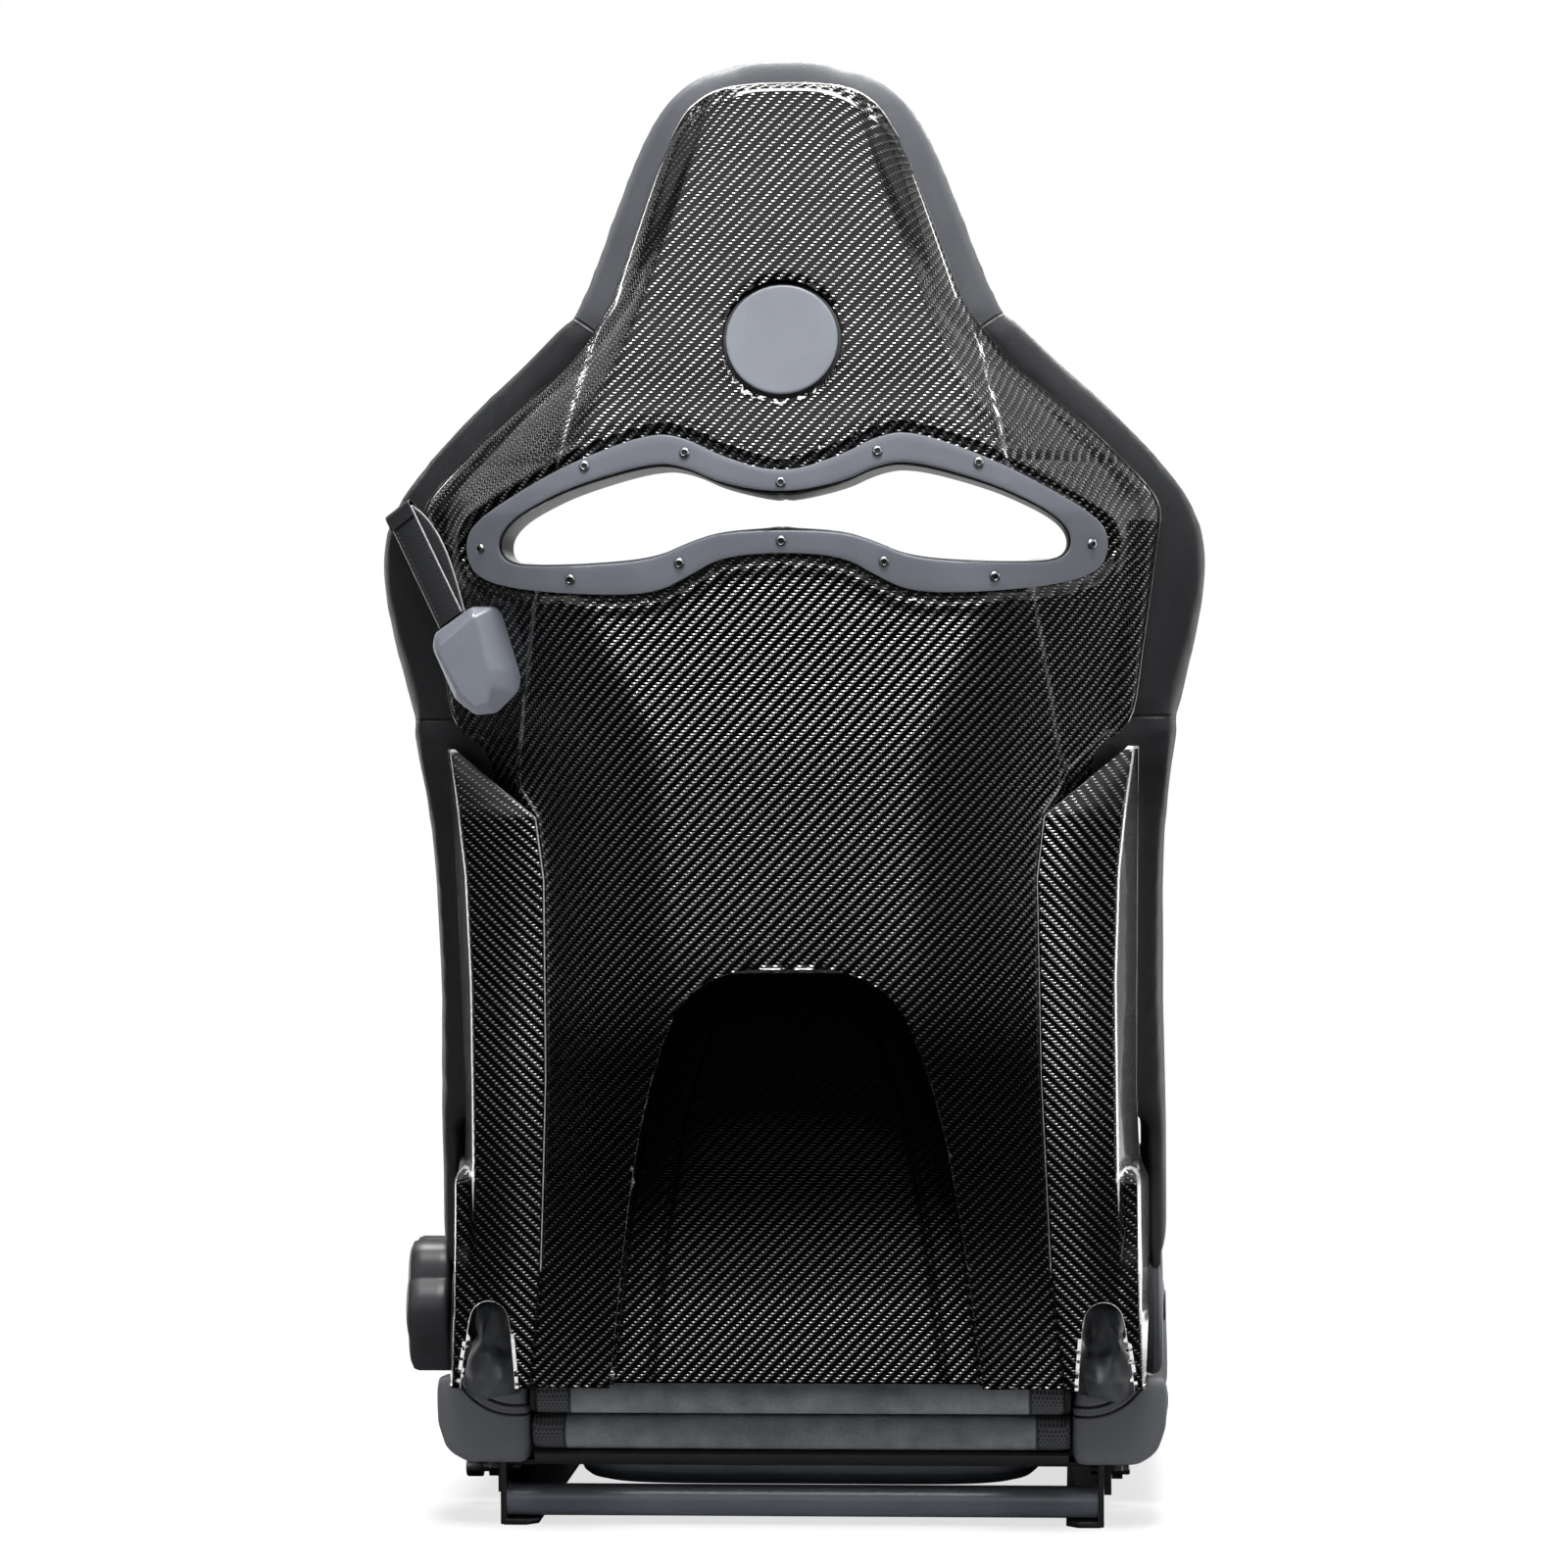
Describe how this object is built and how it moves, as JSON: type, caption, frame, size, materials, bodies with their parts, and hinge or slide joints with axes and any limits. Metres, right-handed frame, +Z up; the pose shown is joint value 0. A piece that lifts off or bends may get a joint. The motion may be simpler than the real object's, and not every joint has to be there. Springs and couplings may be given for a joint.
{
  "type": "racing seat",
  "caption": "Reclining sports seat: carbon back shell with a harness slot, bolstered padding, rotary recliner, fold-forward release and bottom-mount side plates.",
  "frame": {"origin": "centre of the four floor bolt holes, on the underside of the side plate flanges", "axes": "+Y forward, the way the occupant faces; +X to the occupant's right; +Z up"},
  "size_m": [0.5602, 0.6919, 0.993],
  "materials": {
    "carbon_gloss": "gloss lacquered carbon twill",
    "leather_black": "fine grain, semi matt",
    "suede_dark": "brushed suede",
    "satin_grey": "satin grey",
    "steel_black": "black powder coat",
    "zinc_steel": "zinc plated",
    "plastic_black": "fine texture"
  },
  "bodies": {
    "base": {"side_plate_left": "steel_black", "side_plate_right": "steel_black", "rear_crossbar": "steel_black", "front_crossbar": "steel_black", "seat_pan": "steel_black", "under_tray": "plastic_black", "cushion_center": "suede_dark", "cushion_nose": "leather_black", "cushion_bolster_left": "leather_black", "cushion_bolster_right": "leather_black", "rear_upper_roll": "suede_dark", "rear_lower_roll": "suede_dark", "rear_trim_strip": "plastic_black", "hinge_base_left": "steel_black", "hinge_base_right": "steel_black", "hinge_bolts": "zinc_steel", "hinge_boot_left": "leather_black", "hinge_boot_right": "leather_black"},
    "recliner": {"recliner_fitting_left": "zinc_steel", "recliner_fitting_right": "zinc_steel"},
    "backrest": {"back_shell": "carbon_gloss", "lower_center_panel": "carbon_gloss", "side_cover_left": "carbon_gloss", "side_cover_right": "carbon_gloss", "badge_disc": "satin_grey", "slot_bezel": "satin_grey", "bezel_screws": "zinc_steel", "slot_liner": "leather_black", "headrest_pad": "leather_black", "slot_pad": "suede_dark", "torso_pad": "suede_dark", "shoulder_pad_left": "leather_black", "shoulder_pad_right": "leather_black", "torso_bolster_left": "leather_black", "torso_bolster_right": "leather_black", "frame_upright_left": "steel_black", "frame_upright_right": "steel_black", "frame_lower_bar": "steel_black", "frame_upper_bar": "steel_black", "shell_posts": "steel_black", "lumbar_panel": "plastic_black", "hinge_arm_left": "steel_black", "hinge_arm_right": "steel_black", "release_cable": "plastic_black", "strap_sleeve": "leather_black", "hinge_cover_left": "plastic_black", "hinge_cover_right": "plastic_black", "knob_escutcheon": "plastic_black", "pivot_cap_right": "plastic_black"},
    "hand_wheel": {"recliner_knob": "plastic_black", "sync_shaft": "zinc_steel"},
    "pull": {"pull_handle": "satin_grey", "pull_strap": "leather_black"},
    "latch": {"release_pawl": "zinc_steel"}
  },
  "joints": [
    {"name": "recline", "type": "hinge", "parent": "base", "child": "recliner", "pos_m": [0, -0.16, 0.145], "axis": [1, 0, 0], "range_deg": [-6, 24]},
    {"name": "backrest_fold", "type": "hinge", "parent": "recliner", "child": "backrest", "pos_m": [0, -0.16, 0.145], "axis": [1, 0, 0], "range_deg": [-35, 0]},
    {"name": "knob_turn", "type": "hinge", "parent": "base", "child": "hand_wheel", "pos_m": [0, -0.16, 0.145], "axis": [1, 0, 0], "range_deg": [-180, 720]},
    {"name": "release_pull", "type": "slide", "parent": "backrest", "child": "pull", "axis": [0.4368, -0.342, -0.832], "range_m": [0, 0.012], "stiffness_N_per_m": 1500, "springref_m": -0.006},
    {"name": "latch_turn", "type": "hinge", "parent": "backrest", "child": "latch", "pos_m": [-0.2236, -0.205, 0.201], "axis": [1, 0, 0], "range_deg": [0, 18.5]}
  ],
  "couplings": [
    {"joint": "knob_turn", "follows": "recline", "ratio": 30},
    {"joint": "latch_turn", "follows": "release_pull", "rad_per_m": 26.18}
  ]
}
